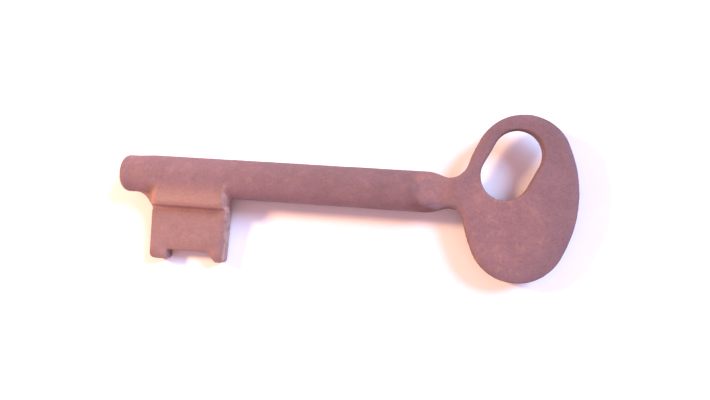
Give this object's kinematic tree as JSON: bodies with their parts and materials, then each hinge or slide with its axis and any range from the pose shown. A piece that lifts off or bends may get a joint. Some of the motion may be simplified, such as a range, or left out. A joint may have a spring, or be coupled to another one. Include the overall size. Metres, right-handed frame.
{
  "type": "bit key",
  "caption": "Old steel bit key: round shank with a plain pilot, flat oval bow with a slanted eye, and a stepped, notched one-sided bit.",
  "frame": {"origin": "on the shank's axis, at the root of the pilot, where the fillet in front of the bit begins", "axes": "+X along the shank from the pilot to the bow; +Y across the shank, away from the bit; +Z out of the bow's front face"},
  "size_m": [0.0766, 0.0279, 0.0068],
  "materials": {
    "shank": "worn steel with an even brown rust patina, matt",
    "bow": "brown rust patina with small lighter orange patches, matt",
    "bit": "warmer orange-brown rust patina, rubbed lighter on its edges",
    "braze": "tarnished brass braze, brown-orange, matt"
  },
  "bodies": {
    "root": {"shank": "shank", "bow": "bow", "bit": "bit", "bit_braze": "braze", "bow_braze": "braze"}
  },
  "joints": []
}
